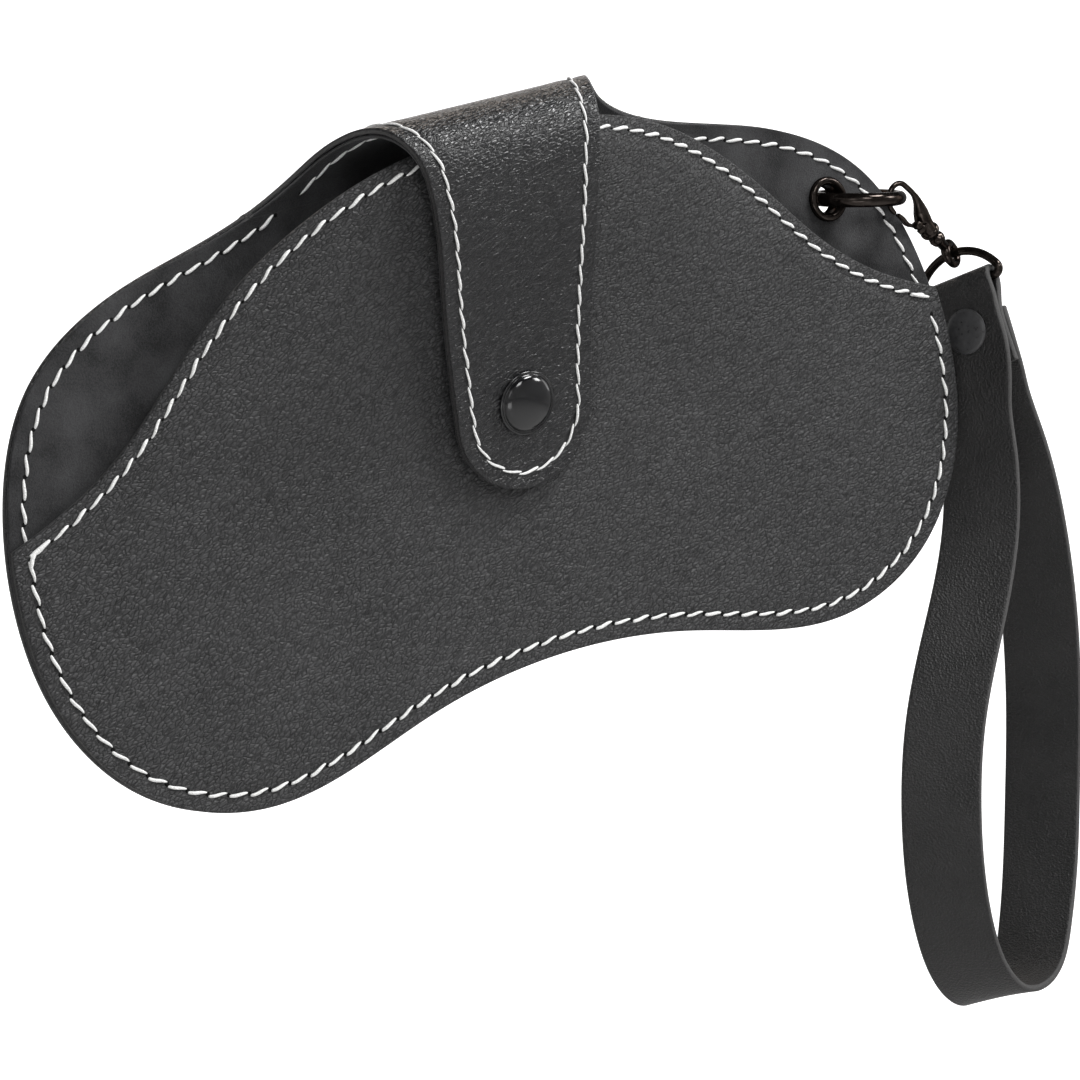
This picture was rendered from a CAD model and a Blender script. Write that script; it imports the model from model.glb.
"""Looks of the soft pouch glasses case: leather sheets, seams, snap, eyelet, ring, clasp and strap.

Sizes are in millimetres, as on the pattern pieces, and turn into metres when a mesh is made.
The case is drawn straight and then tipped; the hanging hardware is drawn in the tipped frame.
"""
from math import cos, pi, radians, sin

import bmesh
import bpy
import numpy as np
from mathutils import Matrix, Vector
from mathutils.geometry import delaunay_2d_cdt


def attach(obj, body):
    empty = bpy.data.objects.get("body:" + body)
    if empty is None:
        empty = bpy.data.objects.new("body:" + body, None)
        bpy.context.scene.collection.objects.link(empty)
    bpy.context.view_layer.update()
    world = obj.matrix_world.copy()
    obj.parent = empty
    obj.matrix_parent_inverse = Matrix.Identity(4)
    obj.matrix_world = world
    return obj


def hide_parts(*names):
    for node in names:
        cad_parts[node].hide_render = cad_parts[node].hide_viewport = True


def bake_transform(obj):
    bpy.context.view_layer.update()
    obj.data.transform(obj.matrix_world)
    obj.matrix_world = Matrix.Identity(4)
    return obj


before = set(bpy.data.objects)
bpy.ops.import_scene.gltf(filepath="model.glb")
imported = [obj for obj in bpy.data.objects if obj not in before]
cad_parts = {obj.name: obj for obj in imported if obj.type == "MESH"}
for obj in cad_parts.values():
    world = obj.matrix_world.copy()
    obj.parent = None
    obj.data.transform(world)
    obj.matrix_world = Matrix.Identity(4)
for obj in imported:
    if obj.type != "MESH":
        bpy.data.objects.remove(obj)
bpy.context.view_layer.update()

MM = 0.001
TILT = radians(14.6)

# ---- pattern of the case ----
SHELL = [(0, -36.8), (26, -39.8), (58, -45.8), (78.5, -38), (90, -21), (92.4, -5), (90.7, 9.5),
         (82, 27.7), (62.4, 39.2), (43.7, 44.3), (36.3, 47.3), (29.3, 52.6), (25.3, 58), (21.5, 63.2),
         (18.8, 69.2), (16.9, 75.9), (15.6, 85), (14.7, 97.8), (13.8, 110.6), (13.2, 120.2)]
FLAP_END = 13.2
SPLIT = 46.0                 # where the flap mesh takes over from the back, along the sheet
MOUTH = [(0, 50.3), (20, 48.6), (40, 41), (56, 29), (68.6, 17), (79, 10), (96, 3)]
FOLD_START = 39.0
FOLD = [(16.4, 73.9), (8.6, 116.1), (68, 13), (-179, 13.8)]     # radius and turn of each arc
BACK_PLY, BACK_LINING, FRONT_LINING, FRONT_PLY, PLY_GAP = 1.1, 0.7, 0.4, 0.9, 0.05
BACK_SHEET = BACK_PLY + BACK_LINING
SEAM_HEIGHT = BACK_SHEET + FRONT_PLY + FRONT_LINING + PLY_GAP
BULGE, BULGE_TOP, BULGE_SPREAD = 17.0, 45, 31.9
SEAM_INSET = 2.85
MOUTH_SEAM_INSET = 2.1
STITCH_PITCH, FLAP_PITCH = 3.7, 3.4
LINING_INSET = 0.15
RIM_ROUND = 0.32

# ---- fittings ----
SNAP_ALONG = 118.9           # along the sheet
EYELET = (73.4, 24.1)
EYELET_BORE = 2.36
RING_RADIUS, RING_WIRE, RING_ANGLE, RING_TIP, CLASP_ON_RING = 7.25, 1.1, -10, 6, 160
EYE_CENTER = np.array([94.0, 0.8, 33.6])
EYE_RADIUS, EYE_WIRE = 1.9, 0.6
LOOP_RADIUS, BODY_START, BODY_END = 2.6, 7.0, 12.2
BAR = np.array([0.346, -0.887, 0.30])
D_WIRE, D_HALF_BAR, D_CORNER, D_CORNER_TURN = 0.75, 7.2, 1.1, 120
STRAP_WIDTH, STRAP_PLY = 14.0, 1.2
# Places beside the middle of the D ring's bar, and the direction across the strap at each.
RIVET_DROP = 8.2
NEAR_LEG = [((0.8, -2.8, -20), (0.39, -0.87, 0.29)), ((2.2, -2.5, -29), (0.48, -0.85, 0.24)),
            ((1.2, -3.8, -44), (0.60, -0.78, 0.17)), ((-5, -6.3, -62), (0.68, -0.72, 0.14)),
            ((-9, -7.4, -75), (0.68, -0.72, 0.14)), ((-10.6, -8.1, -90), (0.68, -0.72, 0.14)),
            ((-9.8, -8, -101), (0.65, -0.74, 0.16)), ((-6.5, -6.5, -111.5), (0.60, -0.78, 0.19)),
            ((-1.6, -4.9, -119.8), (0.54, -0.81, 0.22)), ((5, -3.3, -124), (0.48, -0.85, 0.24))]
FAR_LEG = [((12, -1.8, -121.7), (0.48, -0.85, 0.24)), ((17.3, 0.8, -113), (0.49, -0.84, 0.21)),
           ((20.3, 3, -102), (0.53, -0.83, 0.17)), ((21.6, 4, -90), (0.53, -0.84, 0.14)),
           ((21.8, 3.9, -75), (0.53, -0.84, 0.14)), ((20, 2.6, -59.5), (0.53, -0.83, 0.16)),
           ((15.8, 0.6, -42.5), (0.48, -0.85, 0.21)), ((10.2, -0.6, -27), (0.41, -0.87, 0.26)),
           ((5, -1.6, -16.5), (0.35, -0.89, 0.31))]


# ---- small geometry tools ----
def unit(v):
    v = np.asarray(v, float)
    return v / np.linalg.norm(v, axis=-1, keepdims=True)


def tipped(points):
    """Points of the straight case, in the tipped frame, in millimetres."""
    p = np.asarray(points, float)
    c, s = cos(TILT), sin(TILT)
    return np.stack([p[..., 0] * c - p[..., 2] * s, p[..., 1], p[..., 0] * s + p[..., 2] * c], axis=-1)


def lengths_along(points):
    steps = np.linalg.norm(np.diff(points, axis=0), axis=1)
    return np.concatenate([[0], np.cumsum(steps)])


def at_lengths(points, values):
    """Points of a polyline at the given lengths along it."""
    along = lengths_along(points)
    return np.stack([np.interp(values, along, points[:, k]) for k in range(points.shape[1])], axis=1)


def evenly(points, count):
    return at_lengths(points, np.linspace(0, lengths_along(points)[-1], count))


def smooth(points, count=1600):
    """A natural cubic spline through points, sampled evenly."""
    p = np.asarray(points, float)
    t = lengths_along(p)
    h = np.diff(t)
    n = len(p)
    matrix = np.eye(n)
    right = np.zeros_like(p)
    for i in range(1, n - 1):
        matrix[i, i - 1:i + 2] = h[i - 1], 2 * (h[i - 1] + h[i]), h[i]
        right[i] = 6 * ((p[i + 1] - p[i]) / h[i] - (p[i] - p[i - 1]) / h[i - 1])
    bend = np.linalg.solve(matrix, right)
    u = np.linspace(0, t[-1], count * 2)
    i = np.clip(np.searchsorted(t, u, side="right") - 1, 0, n - 2)
    a, b, w = (t[i + 1] - u)[:, None], (u - t[i])[:, None], h[i][:, None]
    out = (bend[i] * a**3 + bend[i + 1] * b**3) / (6 * w)
    out += (p[i] / w - bend[i] * w / 6) * a + (p[i + 1] / w - bend[i + 1] * w / 6) * b
    return evenly(out, count)


def beside(points, distance):
    """A polyline moved to its left."""
    run = unit(np.gradient(points, axis=0))
    return points + np.stack([-run[:, 1], run[:, 0]], axis=1) * distance


def mirrored(half):
    return [(-x, z) for x, z in reversed(half) if x] + list(half)


# ---- surfaces of the case ----
def fold_profile(along):
    """Outer face of the back sheet and flap: y, z and the outward normal's y, z."""
    s = np.asarray(along, float)
    y, z = np.zeros_like(s), s.copy()
    heading = np.zeros_like(s)
    start_y, start_z, start, turned = 0.0, FOLD_START, FOLD_START, 0.0
    for radius, turn in FOLD:
        side = 1 if radius > 0 else -1
        length = abs(radius) * radians(turn)
        here = s > start
        angle = turned + side * (s - start) / abs(radius)
        y = np.where(here, start_y + radius * (np.cos(angle) - cos(turned)), y)
        z = np.where(here, start_z + radius * (np.sin(angle) - sin(turned)), z)
        heading = np.where(here, angle, heading)
        end = turned + side * radians(turn)
        start_y += radius * (cos(end) - cos(turned))
        start_z += radius * (sin(end) - sin(turned))
        start, turned = start + length, end
    return y, z, np.cos(heading), np.sin(heading)


def back_surface(flat, depth):
    """Pattern points (x, length up the sheet) at a depth under the outer face."""
    y, z, out_y, out_z = fold_profile(flat[..., 1])
    return np.stack([flat[..., 0], y - depth * out_y, z - depth * out_z], axis=-1)


def front_height(x, z):
    swell = BULGE * np.exp(-(np.abs(BULGE_TOP - z) / BULGE_SPREAD) ** 1.59)
    power = np.clip(0.85 + 0.042 * (z - 13), 0.85, 1.95)
    across = np.clip(1 - (x / 92.5) ** 2, 0, 1) ** power
    return SEAM_HEIGHT + swell * across


def front_surface(flat, depth):
    """Points (x, z) of the bulging front at a depth under its face."""
    x, z = flat[..., 0], flat[..., 1]
    return np.stack([x, depth - front_height(x, z), z], axis=-1)


def surface_frames(surface, flat, depth, outward):
    """Points and unit normals of a path on a surface."""
    here = surface(flat, depth)
    step = 0.05
    right = surface(flat + (step, 0), depth) - here
    up = surface(flat + (0, step), depth) - here
    return here, unit(np.cross(right, up)) * outward


# ---- outlines ----
def pattern_curve(inset=0.0):
    """The whole cut edge of the back and flap, from the left of the flap's end round to its right."""
    return beside(smooth(mirrored(SHELL), 4000), inset)


def back_outline(inset=0.0):
    curve = pattern_curve(inset)
    return curve[curve[:, 1] <= SPLIT]


def shell_below_mouth(inset=0.0, mouth_inset=0.0):
    """The cut edge of the front from one mouth corner round the bottom to the other, and the mouth."""
    edge = pattern_curve(inset)
    mouth = beside(smooth(mirrored(MOUTH), 2400), -mouth_inset)
    mouth_z = np.interp(edge[:, 0], mouth[:, 0], mouth[:, 1])
    edge = edge[(edge[:, 1] < mouth_z) & (edge[:, 1] < 20)]
    return edge, mouth[(mouth[:, 0] > edge[0, 0]) & (mouth[:, 0] < edge[-1, 0])]


def flap_sides(inset=0.0):
    """The right edge of the flap, its round end and its left edge, as one line."""
    curve = pattern_curve(inset)
    right = curve[(curve[:, 1] >= SPLIT) & (curve[:, 0] > 0)]
    angle = np.linspace(0, pi, 160)[1:-1]
    end_z = SHELL[-1][1]
    radius = FLAP_END - inset
    tip = np.stack([radius * np.cos(angle), end_z + radius * np.sin(angle)], axis=1)
    left = right[::-1] * (-1, 1)
    return np.concatenate([right, tip, left])


# ---- meshes ----
def new_piece(name, points, faces, material, slot, replaces=(), ride=None, slots=None):
    """A mesh piece in metres, from points in millimetres in the tipped frame."""
    mesh = bpy.data.meshes.new(name)
    mesh.from_pydata((np.asarray(points) * MM).tolist(), [], faces)
    obj = bpy.data.objects.new(name, mesh)
    bpy.context.scene.collection.objects.link(obj)
    for one in (material if isinstance(material, list) else [material]):
        mesh.materials.append(one)
    for polygon in mesh.polygons:
        polygon.use_smooth = True
    if slots is not None:
        mesh.polygons.foreach_set("material_index", slots)
    work = bmesh.new()
    work.from_mesh(mesh)
    bmesh.ops.remove_doubles(work, verts=work.verts, dist=1e-7)
    bmesh.ops.recalc_face_normals(work, faces=work.faces)
    work.to_mesh(mesh)
    work.free()
    if replaces:
        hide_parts(*replaces)
    if ride:
        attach(obj, ride)
    return obj


def grid_faces(rows, columns, wrap, first=0):
    """Quads between consecutive rows of a grid of vertices."""
    faces = []
    for r in range(rows - 1):
        for c in range(columns if wrap else columns - 1):
            d = (c + 1) % columns
            a, b = first + r * columns, first + (r + 1) * columns
            faces.append((a + c, a + d, b + d, b + c))
    return faces


def joined(parts):
    """Several (points, faces) as one."""
    points, faces, count = [], [], 0
    for some_points, some_faces in parts:
        points.append(np.asarray(some_points, float).reshape(-1, 3))
        faces += [tuple(i + count for i in face) for face in some_faces]
        count += len(points[-1])
    return np.concatenate(points), faces


def nearest_on(line, points):
    """The nearest point of a polyline to each point."""
    best = None
    for a, b in zip(line[:-1], line[1:]):
        t = np.clip(((points - a) @ (b - a)) / ((b - a) @ (b - a)), 0, 1)
        spot = a + t[:, None] * (b - a)
        gap = np.linalg.norm(points - spot, axis=1)
        if best is None:
            best, best_gap = spot, gap
        else:
            closer = gap < best_gap
            best, best_gap = np.where(closer[:, None], spot, best), np.minimum(gap, best_gap)
    return best


# How far from the rim to the core line each ring of a sheet lies: closest at the rounded rim.
RING_STEPS = [0, 0.0016, 0.004, 0.0075, 0.012, 0.02, 0.03, 0.042, 0.054, 0.064, 0.072, 0.08, 0.088,
              0.096, 0.104, 0.114, 0.126, 0.14, 0.154, 0.168, 0.184, 0.202, 0.222, 0.244, 0.267, 0.29]


def filled(loop, spacing=1.7):
    """Evenly spread points inside a closed line, and the triangles between them and the line."""
    low, high = loop.min(axis=0) + spacing, loop.max(axis=0)
    xs, zs = np.arange(low[0], high[0], spacing), np.arange(low[1], high[1], spacing)
    spots = np.stack(np.meshgrid(xs, zs), axis=-1).reshape(-1, 2)
    after = np.roll(loop, -1, axis=0)
    inside = np.zeros(len(spots), bool)
    for a, b in zip(loop, after):
        crosses = (a[1] > spots[:, 1]) != (b[1] > spots[:, 1])
        with np.errstate(divide="ignore", invalid="ignore"):
            reach = (b[0] - a[0]) * (spots[:, 1] - a[1]) / (b[1] - a[1]) + a[0]
        inside ^= crosses & (spots[:, 0] < reach)
    spots = spots[inside]
    spots = spots[rim_distance(spots, loop) > spacing * 0.45]
    count = len(loop)
    everything = np.concatenate([loop, spots])
    edges = [(i, (i + 1) % count) for i in range(count)]
    result = delaunay_2d_cdt([Vector(p) for p in everything], edges, [list(range(count))], 1, 1e-7)
    points, faces = result[0], result[2]
    assert len(points) == len(everything)
    return spots, [tuple(face) for face in faces]


def rim_distance(points, rim):
    gaps = np.full(len(points), 1e9)
    for start in range(0, len(rim), 400):
        chunk = rim[start:start + 400]
        gap = np.linalg.norm(points[:, None, :] - chunk[None], axis=2).min(axis=1)
        gaps = np.minimum(gaps, gap)
    return gaps


def round_over(distance):
    """How far a face drops near its cut edge."""
    inside = np.clip(1 - distance / RIM_ROUND, 0, 1)
    return RIM_ROUND * (1 - np.sqrt(1 - inside**2))


def inner_border(faces, count):
    """Edges that only one face has, apart from those of the rim."""
    times = {}
    for face in faces:
        for a, b in zip(face, face[1:] + face[:1]):
            edge = min(a, b), max(a, b)
            times[edge] = times.get(edge, 0) + 1
    return [edge for edge in times if times[edge] == 1 and edge[1] >= count]


def sheet(rim, core, surface, top, bottom, seam=0.0, pitch=STITCH_PITCH, free_edge=None, wave=None,
          hole=None):
    """A stitched sheet between two depths: rings inside its rim, and a filled middle."""
    target = nearest_on(np.asarray(core, float), rim)
    rings = np.stack([rim + (target - rim) * f for f in RING_STEPS])
    middle, middle_faces = filled(rings[-1])
    flat = np.concatenate([rings.reshape(-1, 2), middle])
    run = unit(np.roll(rim, -1, axis=0) - np.roll(rim, 1, axis=0))
    inward = np.stack([-run[:, 1], run[:, 0]], axis=1)
    reach = np.abs(((target - rim) * inward).sum(axis=1))
    by_ring = (np.array(RING_STEPS)[:, None] * reach[None]).reshape(-1)
    by_ring = np.concatenate([by_ring, np.full(len(middle), 50)])
    distance = np.where(by_ring < 1.0, by_ring, rim_distance(flat, rim))
    if free_edge is not None:
        distance = np.where(free_edge(flat), 50, distance)
    along = np.tile(lengths_along(rim), len(RING_STEPS))
    along = np.concatenate([along, np.zeros(len(middle))])
    pull = 0.8 + 0.2 * np.cos(2 * pi * along / pitch)
    press = seam * np.exp(-((distance - SEAM_INSET) / 0.75) ** 2) * pull
    puff = -0.35 * seam * np.exp(-((distance - SEAM_INSET - 2.4) / 1.5) ** 2)
    sink = round_over(distance)
    ripple = wave(flat, distance) if wave else 0.0
    upper = surface(flat, top + sink + press + puff + ripple)
    lower = surface(flat, bottom - sink * 0.8 + ripple)
    count, rows, total = len(rim), len(RING_STEPS), len(flat)
    one_side = grid_faces(rows, count, True)
    ring_points = [(rows - 1) * count + i for i in range(count)] + list(range(rows * count, total))
    one_side += [tuple(ring_points[i] for i in face) for face in middle_faces]
    wall = [(c, (c + 1) % count, total + (c + 1) % count, total + c) for c in range(count)]
    if hole is not None:
        near = np.linalg.norm(flat - hole, axis=1) < EYELET_BORE + 0.1
        one_side = [face for face in one_side if not near[list(face)].any()]
        wall += [(a, b, b + total, a + total) for a, b in inner_border(one_side, count)]
    faces = one_side + [tuple(i + total for i in face) for face in one_side]
    return np.concatenate([upper, lower]), faces + wall, len(faces)


def leather_sheet(name, shape, materials, slot, **places):
    """A sheet as a piece: its faces in the first material and its cut edge in the second."""
    points, faces, skin = shape
    which = [0] * skin + [1] * (len(faces) - skin)
    return new_piece(name, tipped(points), faces, materials, slot, slots=which, **places)


def tube(path, radii, sides=16, squeeze=None, closed=False):
    """A round bar along a path, with a radius at each point; squeeze flattens it across a direction."""
    path = np.asarray(path, float)
    count = len(path)
    radii = np.broadcast_to(np.asarray(radii, float), (count,))
    if closed:
        run = unit(np.roll(path, -1, axis=0) - np.roll(path, 1, axis=0))
    else:
        run = unit(np.gradient(path, axis=0))
    side = np.cross(run[0], (0.31, 0.52, 0.79))
    rows = []
    for i in range(count):
        side = unit(side - run[i] * (side @ run[i]))
        other = np.cross(run[i], side)
        angle = 2 * pi * np.arange(sides) / sides
        ring = np.cos(angle)[:, None] * side + np.sin(angle)[:, None] * other
        if squeeze is not None:
            direction, amount = squeeze
            ring = ring - np.outer(ring @ direction, direction) * (1 - amount)
        rows.append(path[i] + ring * radii[i])
    points = np.concatenate(rows)
    if closed:
        faces = grid_faces(count, sides, True)
        last = (count - 1) * sides
        shift = closing_shift(rows[-1], rows[0], sides)
        faces += [(last + c, last + (c + 1) % sides, (c + 1 + shift) % sides, (c + shift) % sides)
                  for c in range(sides)]
        return points, faces
    faces = grid_faces(count, sides, True)
    points = np.concatenate([points, path[:1], path[-1:]])
    tail = len(points) - 2
    faces += [(tail, (c + 1) % sides, c) for c in range(sides)]
    base = (count - 1) * sides
    faces += [(tail + 1, base + c, base + (c + 1) % sides) for c in range(sides)]
    return points, faces


def closing_shift(last, first, sides):
    """How many steps the last ring of a closed tube is turned against its first."""
    gaps = [np.linalg.norm(last - np.roll(first, -k, axis=0)) for k in range(sides)]
    return int(np.argmin(gaps))


def plated(name, shape, stands_for, body):
    """A fitting in black plating."""
    new_piece(name, *shape, PLATING, "black_metal", replaces=[stands_for], ride=body)


def lathe(center, axis, profile, sides=64):
    """A turned shape: profile holds (radius, height along the axis)."""
    axis = unit(axis)
    side = unit(np.cross(axis, (0.3, 0.5, 0.81)))
    other = np.cross(axis, side)
    angle = 2 * pi * np.arange(sides) / sides
    spokes = np.cos(angle)[:, None] * side + np.sin(angle)[:, None] * other
    points = np.concatenate([np.asarray(center) + spokes * r + axis * h for r, h in profile])
    return points, grid_faces(len(profile), sides, True)


def arc(center, radius, start, end, steps=10):
    """(radius, height) points of an arc in a lathe profile, angles in degrees."""
    return [(center[0] + radius * cos(radians(a)), center[1] + radius * sin(radians(a)))
            for a in np.linspace(start, end, steps)]


# ---- seams ----
def seam_frames(path, surface, depth, outward):
    """A seam's middle line and normals, in the tipped frame."""
    flat = evenly(path, max(200, int(lengths_along(path)[-1] / 0.3)))
    here, out = surface_frames(surface, flat, depth, outward)
    return tipped(here), tipped(out)


def stitches(here, out, pitch=STITCH_PITCH, length=3.3, radius=0.28, lift=0.27, slant=0.26, start=0.5):
    """Separate stitches along a seam: arched, slanted threads, fuller towards one end."""
    along = lengths_along(here)
    count = int((along[-1] - start) / pitch)
    steps = np.linspace(-1, 1, 11)
    arch = np.clip(1 - np.abs(steps) ** 2.6, 0, 1)
    full = 0.4 + 0.6 * np.clip(1 - np.abs((steps + 0.25) / 1.25) ** 2.2, 0, 1)
    parts = []
    for k in range(count):
        spots = start + pitch * (k + 0.5 + 0.02 * sin(k * 5.3)) + steps * length / 2
        line = at_lengths(here, spots)
        up = unit(np.stack([np.interp(spots, along, out[:, j]) for j in range(3)], axis=1))
        side = unit(np.cross(up, np.gradient(line, axis=0)))
        sway = slant * (1 + 0.3 * sin(k * 2.4)) * (steps + 0.25 * np.sin(steps * pi))
        height = lift * arch * (1 + 0.12 * sin(k * 1.7)) - radius * 0.5
        line = line + up * height[:, None] + side * sway[:, None]
        parts.append(tube(line, radius * full * (1 + 0.08 * sin(k * 3.1)), 10))
    return joined(parts)


def needle_holes(here, out, pitch=STITCH_PITCH, radius=0.36, start=0.5):
    """The dark holes that the thread goes down, between the stitches."""
    along = lengths_along(here)
    count = int((along[-1] - start) / pitch) + 1
    parts = []
    for k in range(count):
        spot = start + pitch * k
        middle = np.array([np.interp(spot, along, here[:, j]) for j in range(3)])
        up = unit(np.array([np.interp(spot, along, out[:, j]) for j in range(3)]))
        parts.append(lathe(middle - up * 0.1, up, [(radius * 1.1, 0.0), (radius, 0.13), (radius * 0.5, 0.15),
                                                   (0.01, 0.15)], 10))
    return joined(parts)


def seam(name, frames, thread, dark, body=None, replaces=(), **style):
    """The stitches of one or more runs and their needle holes, as two pieces."""
    hole_style = {k: v for k, v in style.items() if k in ("pitch", "start")}
    hole_style["radius"] = style.get("radius", 0.33) * 1.1
    thread_mesh = joined([stitches(here, out, **style) for here, out in frames])
    hole_mesh = joined([needle_holes(here, out, **hole_style) for here, out in frames])
    threads = new_piece(name, *thread_mesh, thread, "thread", replaces=replaces, ride=body)
    holes = new_piece(name + "_holes", *hole_mesh, dark, "thread", ride=body)
    return threads, holes


# ---- materials ----
class Nodes:
    """A short way to write a material's node tree."""

    def __init__(self, name, color, roughness, metallic=0.0, specular=0.5):
        self.material = bpy.data.materials.new(name)
        self.material.use_nodes = True
        self.tree = self.material.node_tree
        self.shader = self.tree.nodes["Principled BSDF"]
        self.shader.inputs["Base Color"].default_value = (*color, 1)
        self.shader.inputs["Roughness"].default_value = roughness
        self.shader.inputs["Metallic"].default_value = metallic
        self.shader.inputs["Specular IOR Level"].default_value = specular
        self.place = self.add("ShaderNodeTexCoord").outputs["Object"]

    def add(self, kind, **settings):
        node = self.tree.nodes.new(kind)
        for key, value in settings.items():
            if hasattr(node, key):
                setattr(node, key, value)
            else:
                node.inputs[key.replace("_", " ")].default_value = value
        return node

    def link(self, output, target):
        self.tree.links.new(output, target)

    def mapped(self, turn=(0, 0, 0), stretch=(1, 1, 1)):
        """Object coordinates in millimetres, turned and stretched."""
        turned = self.add("ShaderNodeMapping", vector_type="TEXTURE")
        turned.inputs["Rotation"].default_value = [radians(a) for a in turn]
        turned.inputs["Scale"].default_value = [MM / s for s in stretch]
        self.link(self.place, turned.inputs["Vector"])
        return turned.outputs["Vector"]

    def noise(self, where, scale, detail=3.0, roughness=0.55, distortion=0.0):
        node = self.add("ShaderNodeTexNoise", Scale=scale, Detail=detail, Roughness=roughness,
                        Distortion=distortion)
        self.link(where, node.inputs["Vector"])
        return node.outputs["Fac"]

    def cells(self, where, scale, feature="F1", smoothness=0.5):
        node = self.add("ShaderNodeTexVoronoi", feature=feature, Scale=scale)
        if feature == "SMOOTH_F1":
            node.inputs["Smoothness"].default_value = smoothness
        self.link(where, node.inputs["Vector"])
        return node.outputs["Distance"]

    def wobbled(self, where, scale, amount):
        """Coordinates pushed about by noise, so that cells lose their straight sides."""
        push = self.add("ShaderNodeTexNoise", Scale=scale, Detail=2.0)
        self.link(where, push.inputs["Vector"])
        spread = self.add("ShaderNodeVectorMath", operation="SCALE")
        self.link(push.outputs["Color"], spread.inputs[0])
        spread.inputs["Scale"].default_value = amount
        total = self.add("ShaderNodeVectorMath", operation="ADD")
        self.link(where, total.inputs[0])
        self.link(spread.outputs[0], total.inputs[1])
        return total.outputs[0]

    def math(self, operation, a, b):
        node = self.add("ShaderNodeMath", operation=operation)
        for socket, value in zip(node.inputs, (a, b)):
            if isinstance(value, (int, float)):
                socket.default_value = value
            else:
                self.link(value, socket)
        return node.outputs[0]

    def ramp(self, value, low, high, start=0.0, end=1.0, kind="LINEAR"):
        node = self.add("ShaderNodeMapRange", interpolation_type=kind)
        for key, number in (("From Min", start), ("From Max", end), ("To Min", low), ("To Max", high)):
            node.inputs[key].default_value = number
        self.link(value, node.inputs["Value"])
        return node.outputs["Result"]

    def tint(self, value, low, high, start=0.35, end=0.65):
        """Base colour that runs between two colours with a value."""
        node = self.add("ShaderNodeMix", data_type="RGBA")
        self.link(self.ramp(value, 0, 1, start, end), node.inputs["Factor"])
        colors = [s for s in node.inputs if s.type == "RGBA"]
        colors[0].default_value = (*low, 1)
        colors[1].default_value = (*high, 1)
        output = [s for s in node.outputs if s.type == "RGBA"][0]
        self.link(output, self.shader.inputs["Base Color"])

    def rough(self, value, low, high, start=0.3, end=0.7):
        self.link(self.ramp(value, low, high, start, end), self.shader.inputs["Roughness"])

    def bump(self, *layers):
        """Bumps on bumps: (height, strength, distance in mm)."""
        before = None
        for height, strength, distance in layers:
            node = self.add("ShaderNodeBump")
            node.inputs["Strength"].default_value = strength
            node.inputs["Distance"].default_value = distance * MM
            self.link(height, node.inputs["Height"])
            if before:
                self.link(before, node.inputs["Normal"])
            before = node.outputs["Normal"]
        self.link(before, self.shader.inputs["Normal"])


def drifting(m, drift, low, high, rough, relief, spread=(0.35, 0.65)):
    """Colour and gloss that drift with one value, over (height, strength, distance) relief."""
    m.tint(drift, low, high, *spread)
    m.rough(drift, *rough)
    m.bump(relief)
    return m.material


def pebbled_leather(name, low, high, turn, strength=1.0, rough=(0.44, 0.58), shine=0.34):
    """Fine pebbled leather whose creases run one way."""
    m = Nodes(name, low, 0.5, specular=shine)
    bent = m.wobbled(m.mapped(turn, (0.6, 1.0, 1.3)), 0.7, 0.7)
    pebble = m.ramp(m.cells(bent, 1.5, "DISTANCE_TO_EDGE"), 0, 1, 0.0, 0.24, "SMOOTHSTEP")
    crease = m.noise(m.mapped(turn, (0.4, 1, 1.6)), 1.0, 2, 0.5, 0.4)
    fine = m.noise(m.mapped(), 5.5, 2)
    broad = m.noise(m.mapped(), 0.045, 2)
    relief = m.math("ADD", m.math("MULTIPLY", crease, 0.45), m.math("MULTIPLY", pebble, 0.3))
    m.tint(m.math("ADD", relief, m.math("MULTIPLY", broad, 0.2)), low, high, 0.22, 0.74)
    m.rough(pebble, rough[1], rough[0], 0.1, 0.9)
    m.bump((crease, 0.8 * strength, 0.8), (pebble, strength, 0.2), (fine, 0.3, 0.03))
    return m.material


def suede():
    """The matt lining, with a short nap."""
    m = Nodes("suede_lining", (0.03, 0.03, 0.031), 0.9, specular=0.2)
    nap = m.noise(m.mapped(), 3.2, 5, 0.75)
    cloud = m.noise(m.mapped(), 0.12, 3)
    m.tint(m.math("ADD", m.math("MULTIPLY", nap, 0.5), m.math("MULTIPLY", cloud, 0.5)),
           (0.01, 0.01, 0.0105), (0.046, 0.046, 0.0475), 0.38, 0.62)
    m.rough(nap, 0.8, 0.97)
    m.shader.inputs["Sheen Weight"].default_value = 0.2
    m.shader.inputs["Sheen Roughness"].default_value = 0.5
    m.shader.inputs["Sheen Tint"].default_value = (0.5, 0.5, 0.52, 1)
    m.bump((nap, 0.8, 0.2))
    return m.material


def cut_edge():
    """The dyed cut edge of the leather, a little lighter and fibrous."""
    m = Nodes("cut_edge", (0.05, 0.05, 0.052), 0.75, specular=0.25)
    fibre = m.noise(m.mapped((0, 0, 0), (1, 1.6, 1)), 4.0, 4, 0.7)
    return drifting(m, fibre, (0.035, 0.034, 0.034), (0.085, 0.084, 0.084), (0.62, 0.85),
                    (fibre, 0.7, 0.08), (0.3, 0.7))


def strap_leather():
    m = Nodes("strap_leather", (0.03, 0.03, 0.032), 0.5, specular=0.4)
    grain = m.cells(m.mapped(), 2.6, "SMOOTH_F1", 0.4)
    pores = m.noise(m.mapped(), 4.5, 3, 0.6)
    broad = m.noise(m.mapped(), 0.09, 3)
    m.tint(m.math("ADD", m.math("MULTIPLY", broad, 0.6), m.math("MULTIPLY", pores, 0.4)),
           (0.008, 0.0078, 0.0079), (0.02, 0.0194, 0.0196))
    m.rough(broad, 0.42, 0.56)
    m.bump((grain, 0.9, 0.2), (pores, 0.7, 0.16))
    return m.material


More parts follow.
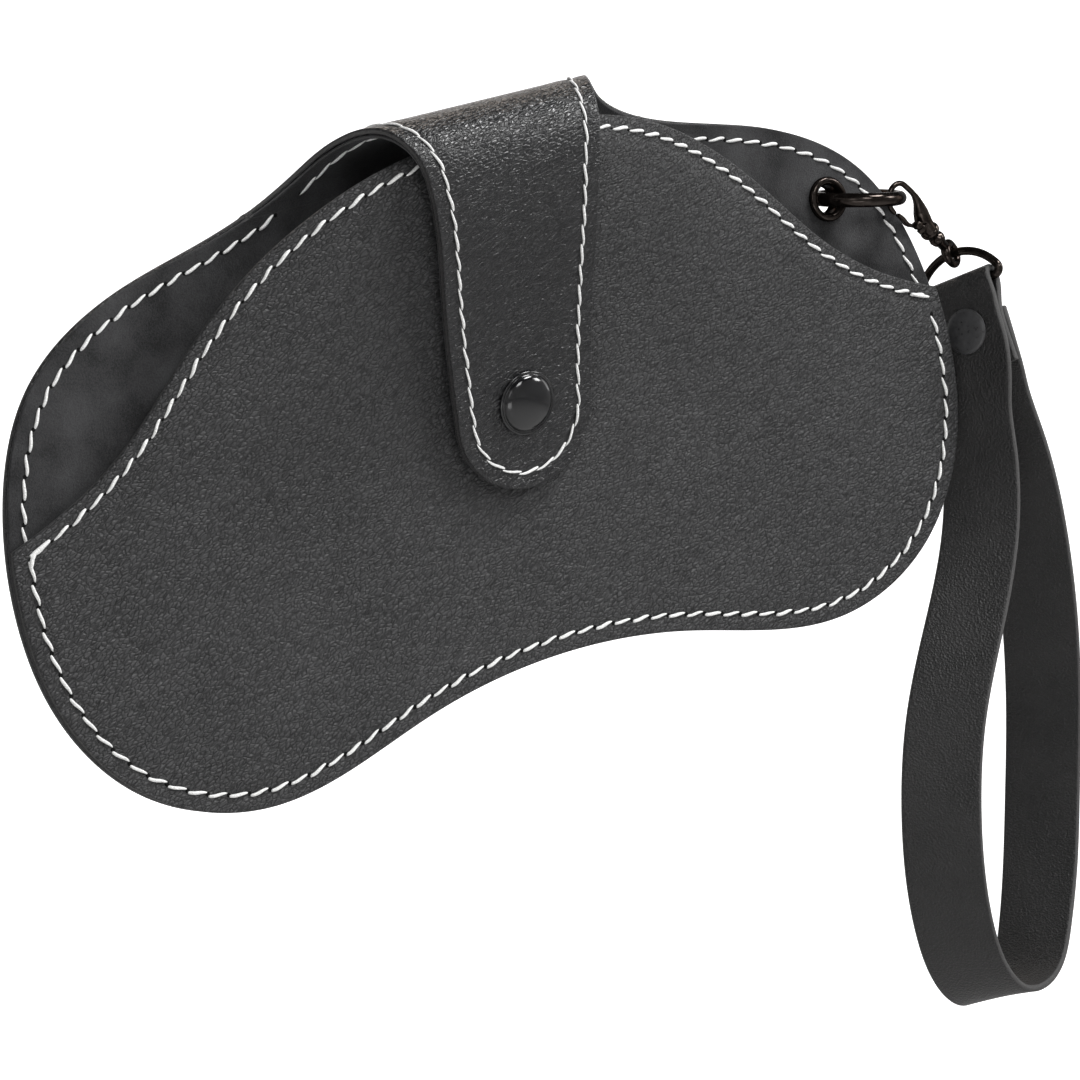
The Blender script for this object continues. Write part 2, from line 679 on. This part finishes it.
def white_thread():
    m = Nodes("white_thread", (0.82, 0.82, 0.8), 0.6, specular=0.35)
    strands = m.noise(m.mapped((0, 35, 0), (1, 1, 3)), 3.0, 2)
    m.shader.inputs["Sheen Weight"].default_value = 0.15
    return drifting(m, strands, (0.62, 0.62, 0.61), (0.95, 0.95, 0.94), (0.5, 0.75), (strands, 0.5, 0.08))


def black_chrome():
    """Glossy black plating with a warm cast."""
    m = Nodes("black_plating", (0.05, 0.045, 0.041), 0.16, metallic=0.9, specular=0.5)
    m.shader.inputs["Specular Tint"].default_value = (0.2, 0.18, 0.17, 1)
    haze = m.noise(m.mapped(), 0.8, 4, 0.6)
    scratches = m.noise(m.mapped((0, 20, 40), (0.4, 6, 6)), 2.2, 3)
    return drifting(m, haze, (0.022, 0.018, 0.016), (0.045, 0.038, 0.034), (0.12, 0.22),
                    (scratches, 0.06, 0.02))


def black_enamel():
    """The gloss enamel of the snap cap."""
    m = Nodes("gloss_enamel", (0.006, 0.006, 0.007), 0.2, specular=0.55)
    haze = m.noise(m.mapped(), 0.5, 4, 0.6)
    ripple = m.noise(m.mapped(), 1.6, 3)
    return drifting(m, haze, (0.0035, 0.0035, 0.004), (0.007, 0.007, 0.008), (0.09, 0.15),
                    (ripple, 0.05, 0.03))


def dark_satin():
    """The satin plating of the strap rivet."""
    m = Nodes("dark_satin", (0.02, 0.02, 0.021), 0.3, specular=0.5)
    haze = m.noise(m.mapped(), 1.3, 4, 0.6)
    speck = m.noise(m.mapped(), 7, 2)
    return drifting(m, haze, (0.028, 0.028, 0.029), (0.044, 0.044, 0.046), (0.26, 0.36),
                    (speck, 0.12, 0.02))


def steel():
    m = Nodes("snap_steel", (0.5, 0.5, 0.51), 0.3, metallic=1.0)
    lines = m.noise(m.mapped((0, 0, 0), (0.5, 5, 5)), 2.5, 3)
    return drifting(m, lines, (0.42, 0.42, 0.43), (0.6, 0.6, 0.61), (0.22, 0.4), (lines, 0.1, 0.03))


def dark_hole():
    m = Nodes("needle_hole", (0.004, 0.004, 0.004), 0.95, specular=0.1)
    speck = m.noise(m.mapped(), 6, 2)
    return drifting(m, speck, (0.002, 0.002, 0.002), (0.008, 0.008, 0.008), (0.9, 1.0), (speck, 0.3, 0.03))


LEATHER = pebbled_leather("case_leather", (0.0085, 0.0085, 0.009), (0.052, 0.052, 0.0535),
                          (0, -37, 0), 0.8)
FLAP_LEATHER = pebbled_leather("flap_leather", (0.004, 0.004, 0.0044), (0.0145, 0.0145, 0.016),
                               (0, -34, 0), 0.5, (0.28, 0.37), 0.46)
SUEDE = suede()
CUT = cut_edge()
THREAD = white_thread()
HOLE = dark_hole()
PLATING = black_chrome()
ENAMEL = black_enamel()
SATIN = dark_satin()
STEEL = steel()
STRAP = strap_leather()


# ---- leather pieces ----
BACK_CORE = [(-56, -12), (-30, -6), (0, 0), (30, -6), (56, -12)]
FRONT_CORE = [(-58, -20), (-36, -8), (0, 2), (36, -8), (58, -20)]
FLAP_CORE = [(0, 56), (0, 118)]


def closed(edge, along, across):
    """The rim of a mesh: a cut edge and the straight line that closes it at the fold."""
    edge = evenly(edge, along)
    return np.concatenate([edge, np.linspace(edge[-1], edge[0], across)[1:-1]])


def soft_wave(flat, distance):
    """Slight unevenness of soft sheet, away from its edges."""
    x, z = flat[..., 0], flat[..., 1]
    waves = np.sin(x / 17 + 0.6) * np.sin(z / 13 + 1.1) + 0.6 * np.sin((x + z) / 9.5)
    clear = np.clip((distance - 4) / 14, 0, 1) * np.clip((np.abs(x) - 22) / 20, 0, 1)
    return 0.22 * waves * clear


def back_pieces():
    """The back and its lining, with the eyelet hole, up to the joint with the flap."""
    outer = sheet(closed(back_outline(), 620, 150), BACK_CORE, back_surface, 0, BACK_PLY, 0.16,
                  free_edge=beside_joint, hole=EYELET)
    leather_sheet("back_leather", outer, [FLAP_LEATHER, CUT], "case_leather",
                  replaces=["back_panel"], ride="case")
    inner = sheet(closed(back_outline(LINING_INSET), 620, 150), BACK_CORE, back_surface,
                  BACK_PLY + 0.02, BACK_SHEET, 0, free_edge=beside_joint, hole=EYELET)
    leather_sheet("back_suede", inner, [SUEDE, CUT], "lining", replaces=["back_lining"], ride="case")


def beside_joint(flat):
    """Points beside the joint of the back and flap meshes, which has no real edge."""
    gap = np.abs(flat[:, 1] - SPLIT)
    half = np.interp(flat[:, 1], [39.2, 44.3, 47.3, 52.6], [62.4, 43.7, 36.3, 29.3])
    side = np.maximum(half - np.abs(flat[:, 0]), 0) * 0.4
    return (gap < 6) & (gap < side)


def front_rim(inset=0.0):
    edge, mouth = shell_below_mouth(inset, inset)
    return np.concatenate([evenly(edge, 560)[:-1], evenly(mouth[::-1], 360)[:-1]])


def front_pieces():
    """The bulging front and its lining, cut to the mouth."""
    outer = sheet(front_rim(), FRONT_CORE, front_surface, 0, FRONT_PLY, 0.22, wave=soft_wave)
    leather_sheet("front_leather", outer, [LEATHER, CUT], "case_leather",
                  replaces=["front_panel"], ride="case")
    inner = sheet(front_rim(0.12), FRONT_CORE, front_surface, FRONT_PLY + 0.02,
                  FRONT_PLY + FRONT_LINING, wave=soft_wave)
    leather_sheet("front_suede", inner, [SUEDE, CUT], "lining", replaces=["front_lining"], ride="case")


def over_the_fold(piece):
    """Lets a piece of the flap bend out of the back."""
    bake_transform(piece)


def flap_pieces():
    """The flap and its lining."""
    outer = sheet(closed(flap_sides(), 560, 110), FLAP_CORE, back_surface, 0, BACK_PLY,
                  0.14, FLAP_PITCH, beside_joint)
    over_the_fold(leather_sheet("flap_leather", outer, [FLAP_LEATHER, CUT], "case_leather",
                                replaces=["flap_panel"]))
    inner = sheet(closed(flap_sides(LINING_INSET), 560, 110), FLAP_CORE, back_surface,
                  BACK_PLY + 0.02, BACK_SHEET, 0, FLAP_PITCH, beside_joint)
    over_the_fold(leather_sheet("flap_suede", inner, [SUEDE, CUT], "lining", replaces=["flap_lining"]))


# ---- seam pieces ----
def case_seams():
    """The seams of the case: round the front, along the mouth, on the free lining and on the back."""
    bottom, mouth = shell_below_mouth(SEAM_INSET, MOUTH_SEAM_INSET)
    full = pattern_curve(SEAM_INSET)
    full = full[full[:, 1] <= SPLIT + 1]
    middle = len(full) // 2
    corner = bottom[-1, 1]
    right = full[middle:][full[middle:][:, 1] > corner + 0.6]
    left = right * (-1, 1)
    seam("perimeter_seam", [seam_frames(bottom, front_surface, 0.1, 1)], THREAD, HOLE, "case",
         ["perimeter_stitching"])
    seam("mouth_seam", [seam_frames(mouth[::-1], front_surface, 0.1, 1)], THREAD, HOLE, "case",
         ["mouth_stitching"])
    lining = [seam_frames(side, back_surface, BACK_SHEET - 0.02, 1) for side in (right, left)]
    seam("top_edge_seam", lining, THREAD, HOLE, "case", ["top_edge_stitching"])
    seam("back_seam", [seam_frames(full, back_surface, 0.08, -1)], THREAD, HOLE, "case")


def flap_seams():
    """The seam round the flap, on its outside and under it."""
    style = dict(pitch=FLAP_PITCH, length=3.9, radius=0.22, lift=0.26, slant=0.2)
    line = flap_sides(SEAM_INSET)
    line = line[line[:, 1] > SPLIT + 2]
    for name, depth, side, stands_for in (("flap_seam", 0.08, -1, ["flap_stitching"]),
                                          ("flap_seam_under", BACK_SHEET - 0.02, 1, [])):
        for piece in seam(name, [seam_frames(line, back_surface, depth, side)], THREAD, HOLE, None,
                          stands_for, **style):
            over_the_fold(piece)


def corner_tacks():
    """Heavy lock stitches where the mouth seam crosses the perimeter seam."""
    _, mouth = shell_below_mouth(SEAM_INSET, MOUTH_SEAM_INSET)
    left, right = mouth[0], mouth[-1]
    runs = [([left + (3.4, 1.6), left + (1.7, 0.8), left + (-0.2, 0)], 0.36),
            ([left + (0.9, 0.6), left + (0.1, -0.4), left + (-0.5, -1.9)], 0.34),
            ([right + (-3.6, 1.3), right + (-1.8, 0.6), right + (0.3, -0.1)], 0.3)]
    parts = []
    for run, radius in runs:
        here, _ = seam_frames(np.array(run), front_surface, -0.12, 1)
        full = 1 - 0.45 * np.abs(np.linspace(-1, 1, 24)) ** 3
        parts.append(tube(evenly(here, 24), radius * full, 12))
    new_piece("corner_tacks", *joined(parts), THREAD, "thread", replaces=["bar_tacks"], ride="case")


# ---- snap and eyelet ----
def snap_plane():
    """Middle and outward direction of the snap on the flap."""
    y, z, out_y, out_z = (float(v) for v in fold_profile(np.array(SNAP_ALONG)))
    return tipped(np.array([0, y, z])), tipped(np.array([0, out_y, out_z]))


def snap_piece():
    """The domed cap, on a rolled collar."""
    center, out = snap_plane()
    profile = [(1.2, -1.0), (1.2, 0.08), (4.95, 0.08)] + arc((5.08, 0.34), 0.26, -90, 100, 12)
    profile += [(4.86, 0.5), (4.8, 0.52)]
    profile += [(4.72 * cos(a), 0.55 + 1.6 * sin(a)) for a in np.linspace(0.1, pi / 2 - 0.003, 26)]
    new_piece("snap_dome", *lathe(center, out, profile, 96), ENAMEL, "black_metal",
              replaces=["snap_cap"], ride="flap")


def eyelet_piece():
    """The rolled flange, the barrel and the lip spread over the washer."""
    center = tipped(np.array([EYELET[0], -BACK_SHEET, EYELET[1]]))
    out = np.array([0, -1.0, 0])
    profile = [(3.85, 0.06)] + arc((3.2, 0.32), 0.66, -15, 165, 18)
    profile += [(2.42, 0.1), (EYELET_BORE, -0.4), (EYELET_BORE, -2.2)]
    profile += arc((2.75, -2.36), 0.42, 180, 320, 12) + [(3.0, -1.9)]
    plated("eyelet_ring", lathe(center, out, profile, 96), "eyelet_grommet", "case")


# ---- hanging hardware ----
def ring_frame():
    """Centre and two directions of the carry ring: away from its far end, and towards the front."""
    swing = np.array([cos(radians(RING_ANGLE)), 0, sin(radians(RING_ANGLE))])
    lean = np.array([0, -cos(radians(RING_TIP)), 0]) - np.cross(swing, (0, 1, 0)) * sin(radians(RING_TIP))
    center = np.array([EYELET[0], -BACK_SHEET / 2, EYELET[1]]) + swing * RING_RADIUS
    return tipped(center), tipped(-swing), tipped(unit(lean))


def on_ring(angle):
    """A point on the middle of the ring's wire, at an angle in degrees."""
    center, back, front = ring_frame()
    return center + RING_RADIUS * (cos(radians(angle)) * back + sin(radians(angle)) * front)


CLASP_ORIGIN = on_ring(CLASP_ON_RING)
CLASP_AXIS = unit(EYE_CENTER - CLASP_ORIGIN)
EYE_AT = float(np.linalg.norm(EYE_CENTER - CLASP_ORIGIN))
CLASP_FACE = unit(np.array([0, -1.0, 0]) + CLASP_AXIS * CLASP_AXIS[1])
CLASP_UP = np.cross(CLASP_FACE, CLASP_AXIS)
BAR = unit(BAR)
D_UP = unit(np.array([0, 0, 1]) - BAR * BAR[2])
D_TURN = radians(D_CORNER_TURN)
D_SIDE_RADIUS = (D_HALF_BAR + D_CORNER * sin(D_TURN)) / sin(D_TURN)
D_HEIGHT = D_CORNER * (1 - cos(D_TURN)) + D_SIDE_RADIUS * (1 + cos(D_TURN))
BAR_CENTER = EYE_CENTER - D_UP * D_HEIGHT
STRAP_OUT = unit(np.cross(D_UP, BAR))


def clasp_points(points):
    """Points (along the clasp, up, out to the front) in the tipped frame."""
    p = np.asarray(points, float)
    if p.shape[-1] == 2:
        p = np.concatenate([p, np.zeros((*p.shape[:-1], 1))], axis=-1)
    return CLASP_ORIGIN + p[..., :1] * CLASP_AXIS + p[..., 1:2] * CLASP_UP + p[..., 2:3] * CLASP_FACE


def carry_ring():
    """The wire ring, a little fuller than its bare wire."""
    path = np.array([on_ring(a) for a in np.linspace(0, 360, 181)[:-1]])
    plated("wire_ring", tube(path, RING_WIRE + 0.12, 28, closed=True), "carry_ring", "ring")


def hook_piece():
    """The fixed arm of the clasp, thick at its barrel and thin round the ring, with a collar."""
    loop = [(LOOP_RADIUS * -sin(a) + 0.4, LOOP_RADIUS * cos(a)) for a in np.linspace(0, pi, 15)]
    hook = [(BODY_END - 0.3, 0), (BODY_START + 3.2, 0), (BODY_START + 1.4, 0.35), (BODY_START - 0.8, 1.55),
            (3.6, LOOP_RADIUS)] + loop + [(1.1, -LOOP_RADIUS)]
    path = smooth(hook, 130)
    share = np.linspace(0, 1, 130)
    thick = np.interp(share, [0, 0.03, 0.06, 0.2, 0.27, 0.36, 0.45, 0.95, 1],
                      [1.2, 1.45, 1.55, 1.5, 1.3, 0.8, 0.5, 0.46, 0.36])
    arm = tube(clasp_points(path), thick, 24)
    collar = [(1.4, 3.2), (1.72, 3.35), (1.78, 3.7), (1.72, 4.05), (1.4, 4.2)]
    collar = lathe(CLASP_ORIGIN, CLASP_AXIS, [(r, BODY_START + h) for r, h in collar], 40)
    plated("clasp_hook", joined([arm, collar]), "clasp_body", "clasp")


def gate_piece():
    """The two wires of the gate, its thumb knob and the plate at its pin."""
    low = -LOOP_RADIUS + 0.1
    wires = []
    for side in (-0.1, 0.5):
        run = [(BODY_START + 1.4, -1.1, side * 1.6), (BODY_START - 0.6, -1.75, side * 1.2),
               (BODY_START - 2.4, low, side), (3.4, low + 0.1, side), (1.9, low + 0.05, side * 0.5)]
        wires.append(tube(clasp_points(smooth(run, 40)), 0.33, 12))
    thumb = lathe(clasp_points((BODY_START - 0.5, -1.5, 0.75)), CLASP_FACE,
                  [(0.05, 0.95), (0.5, 0.93), (0.72, 0.8), (0.8, 0.6), (0.8, -0.2), (0.6, -0.5),
                   (0.05, -0.6)], 28)
    plate = lathe(clasp_points((BODY_START + 0.9, -1.5, 1.0)), CLASP_FACE - 0.3 * CLASP_UP,
                  [(0.05, 0.42), (0.75, 0.4), (0.95, 0.25), (0.95, -0.3), (0.05, -0.35)], 6)
    plated("gate_lever", joined(wires + [thumb, plate]), "clasp_gate", "gate")


def swivel_piece():
    """The headed post of the swivel and its eye, thickest beside the post."""
    post = [(0.05, -2.3), (1.05, -2.3), (1.05, -1.8), (0.64, -1.7), (0.64, 0.1), (1.3, 0.25), (1.45, 0.9),
            (1.3, 1.6), (0.95, 2.2), (0.85, EYE_AT - EYE_RADIUS - BODY_END)]
    post = lathe(CLASP_ORIGIN, CLASP_AXIS, [(r, BODY_END + h) for r, h in post], 32)
    along_bar = unit(BAR - CLASP_AXIS * (BAR @ CLASP_AXIS))
    across = np.cross(along_bar, CLASP_AXIS)
    angle = np.linspace(0, 2 * pi, 97)[:-1]
    path = EYE_CENTER + EYE_RADIUS * (np.outer(np.cos(angle), CLASP_AXIS) + np.outer(np.sin(angle), across))
    thick = EYE_WIRE * (1.1 + 0.45 * np.clip(-np.cos(angle), 0, 1))
    eye = tube(path, thick, 20, closed=True)
    plated("swivel_loop", joined([post, eye]), "swivel_eye", "swivel")


def d_ring_piece():
    """The D ring, drawn as its straight bar, two tight corners and one wide arc."""
    path = [(x, 0.0) for x in np.linspace(-D_HALF_BAR, D_HALF_BAR, 30)]
    right = [(D_HALF_BAR + D_CORNER * sin(a), D_CORNER * (1 - cos(a)))
             for a in np.linspace(0, D_TURN, 16)[1:]]
    high = D_HEIGHT - D_SIDE_RADIUS
    first = D_TURN - pi / 2
    over = [(D_SIDE_RADIUS * cos(a), high + D_SIDE_RADIUS * sin(a))
            for a in np.linspace(first, pi - first, 60)[1:-1]]
    left = [(-x, z) for x, z in right[::-1]]
    flat = np.array(path + right + over + left[:-1])
    line = BAR_CENTER + flat[:, :1] * BAR + flat[:, 1:] * D_UP
    plated("d_wire", tube(line, D_WIRE, 24, closed=True), "d_ring", "d_ring")


# ---- wrist strap ----
BAR_WRAP = D_WIRE + 0.2 + STRAP_PLY / 2
PLY_STEP = STRAP_PLY + 0.12


def strap_route():
    """Middle line of the strap and the direction across it, from its tail to its last end."""
    tail = [(0.3, 15.5), (0.9 * PLY_STEP - BAR_WRAP, 9.5), (PLY_STEP - BAR_WRAP, 5.5), (BAR_WRAP - 0.1, 1.2)]
    turn = [(BAR_WRAP * cos(radians(a)), -BAR_WRAP * sin(radians(a))) for a in range(0, 181, 30)]
    first = tail + turn + [(0.3 - BAR_WRAP, 3.2), (0.12 - BAR_WRAP, 5), (-BAR_WRAP, 7.5), (-BAR_WRAP, 11.5)]
    far_out = 2 * PLY_STEP - BAR_WRAP
    last = [(far_out + 0.2, 12), (far_out, 6.2)]
    stations = [(BAR_CENTER + STRAP_OUT * out - D_UP * down, BAR) for out, down in first]
    stations += [(BAR_CENTER + np.array(place), unit(across)) for place, across in NEAR_LEG + FAR_LEG]
    stations += [(BAR_CENTER + STRAP_OUT * out - D_UP * down, BAR) for out, down in last]
    line = np.array([place for place, across in stations])
    across = np.array([across for place, across in stations])
    both = smooth(np.concatenate([line, across * 6], axis=1), 700)
    return both[:, :3], unit(both[:, 3:])


def strap_piece():
    """The strap: a flat strip with rounded edges, swept along its route."""
    line, across = strap_route()
    run = unit(np.gradient(line, axis=0))
    across = unit(across - run * (across * run).sum(axis=1)[:, None])
    face = np.cross(run, across)
    half, thick, soft = STRAP_WIDTH / 2, STRAP_PLY / 2, 0.28
    top = [(-half + w, thick) for w in (0.3, 0.7, 1.4)] + [(w, thick) for w in np.linspace(-5, 5, 9)]
    top += [(half - w, thick) for w in (1.4, 0.7, 0.3)]
    edge_round = [(half - 0.04, thick - soft), (half, 0), (half - 0.04, soft - thick)]
    section = top + edge_round + [(w, -t) for w, t in top[::-1]] + [(-w, -t) for w, t in edge_round]
    rows = [line + across * w + face * t for w, t in section]
    points = np.stack(rows, axis=1).reshape(-1, 3)
    columns = len(section)
    faces = grid_faces(len(line), columns, True)
    edge = {14, 15, 16, 17, 32, 33, 34, 35}
    which = [1 if (i % columns) in edge else 0 for i in range(len(faces))]
    ends = [tuple(range(columns)), tuple(range(len(points) - columns, len(points)))]
    piece = new_piece("wrist_loop", points, faces + ends, [STRAP, CUT], "strap_leather",
                      replaces=["wrist_strap"], ride="strap", slots=which + [1, 1])


def rivet_piece():
    """The low domed cap of the strap's rivet and its post."""
    center = BAR_CENTER - D_UP * RIVET_DROP - STRAP_OUT * (BAR_WRAP + STRAP_PLY / 2)
    profile = [(1.2, -3.5), (1.2, 0.06), (3.7, 0.06)] + arc((3.75, 0.3), 0.25, -90, 40, 8)
    profile += [(3.78 * cos(a), 0.38 + 0.52 * sin(a)) for a in np.linspace(0.1, pi / 2 - 0.003, 20)]
    new_piece("rivet_cap", *lathe(center, -STRAP_OUT, profile, 72), SATIN, "rivet_metal",
              replaces=["strap_rivet_cap"], ride="strap")


# ---- carried-over solids ----
def finish_cad_nodes():
    """Better materials for the CAD solids that stay."""
    finishes = {"eyelet_washer": PLATING, "gate_pin": PLATING, "gate_spring": STEEL, "snap_socket": STEEL,
                "snap_stud": STEEL, "snap_stud_backing": STEEL, "strap_rivet_back": SATIN}
    for node, material in finishes.items():
        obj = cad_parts[node]
        for slot in obj.material_slots:
            slot.material = material


# ---- studio ----
def emitting(name, color, strength, diffuse):
    m = Nodes(name, (diffuse,) * 3, 0.8, specular=0.1)
    m.shader.inputs["Emission Color"].default_value = (*color, 1)
    m.shader.inputs["Emission Strength"].default_value = strength
    return m.material


def backdrop():
    """A pale floor far below, a bright wall behind the object and a dimmer one before it."""
    away = radians(57.4)
    turn = np.linspace(0, 2 * pi, 73)
    floor = [(r * cos(a), r * sin(a), -0.42) for r in (0.001, 1.0, 2.0) for a in turn]
    sheets = [("floor", floor, grid_faces(3, 73, False), 0.05)]
    for name, start, end, glow in (("wall", -45, 45, 1.0), ("near_wall", 45, 315, 0.04)):
        turn = np.linspace(away + radians(start), away + radians(end), 60)
        points = [(2.0 * cos(a), 2.0 * sin(a), z) for z in (-0.42, 1.3) for a in turn]
        sheets.append((name, points, grid_faces(2, 60, False), glow))
    for name, points, faces, glow in sheets:
        mesh = bpy.data.meshes.new(name)
        mesh.from_pydata(points, [], faces)
        obj = bpy.data.objects.new(name, mesh)
        bpy.context.scene.collection.objects.link(obj)
        mesh.materials.append(emitting("pale_" + name, (1, 1, 1), glow, 0.75))


def softbox(name, place, size, power, target=(0.01, 0, 0.0), color=(1, 1, 1)):
    light = bpy.data.lights.new(name, "AREA")
    light.shape = "RECTANGLE"
    light.size, light.size_y = size
    light.energy = power
    light.color = color
    obj = bpy.data.objects.new(name, light)
    bpy.context.scene.collection.objects.link(obj)
    obj.location = place
    aim = np.array(target) - np.array(place)
    obj.rotation_euler = Vector(aim).to_track_quat("-Z", "Y").to_euler()


def studio():
    backdrop()
    softbox("key", (0.85, -0.6, 0.6), (0.3, 0.3), 5.4)
    softbox("top", (0.34, -0.46, 0.95), (0.4, 0.2), 10)
    softbox("far", (1.1, -0.2, 0.35), (0.3, 0.5), 1)
    softbox("near", (-0.72, -0.72, 0.2), (0.22, 0.4), 0.5)
    softbox("front", (-0.1, -0.75, 0.46), (0.24, 0.26), 2.0)
    softbox("low", (-0.35, -0.6, -0.36), (0.4, 0.2), 0.7)
    softbox("rim", (0.2, 0.8, 0.9), (0.7, 0.3), 2.2, color=(1, 0.88, 0.78))
    world = bpy.data.worlds.new("studio")
    world.use_nodes = True
    world.node_tree.nodes["Background"].inputs["Color"].default_value = (0.95, 0.97, 1, 1)
    world.node_tree.nodes["Background"].inputs["Strength"].default_value = 0.03
    bpy.context.scene.world = world
    bpy.context.scene.view_settings.view_transform = "Standard"


def camera():
    lens = bpy.data.cameras.new("camera")
    lens.lens, lens.sensor_width = 145.4, 36
    obj = bpy.data.objects.new("camera", lens)
    bpy.context.scene.collection.objects.link(obj)
    place, target = Vector((-0.3804, -0.6063, -0.0167)), Vector((0.0076, 0, -0.0167))
    obj.location = place
    obj.rotation_euler = (target - place).to_track_quat("-Z", "Y").to_euler()
    bpy.context.scene.camera = obj


camera()
studio()
back_pieces()
front_pieces()
flap_pieces()
case_seams()
flap_seams()
corner_tacks()
snap_piece()
eyelet_piece()
carry_ring()
hook_piece()
gate_piece()
swivel_piece()
d_ring_piece()
strap_piece()
rivet_piece()
finish_cad_nodes()
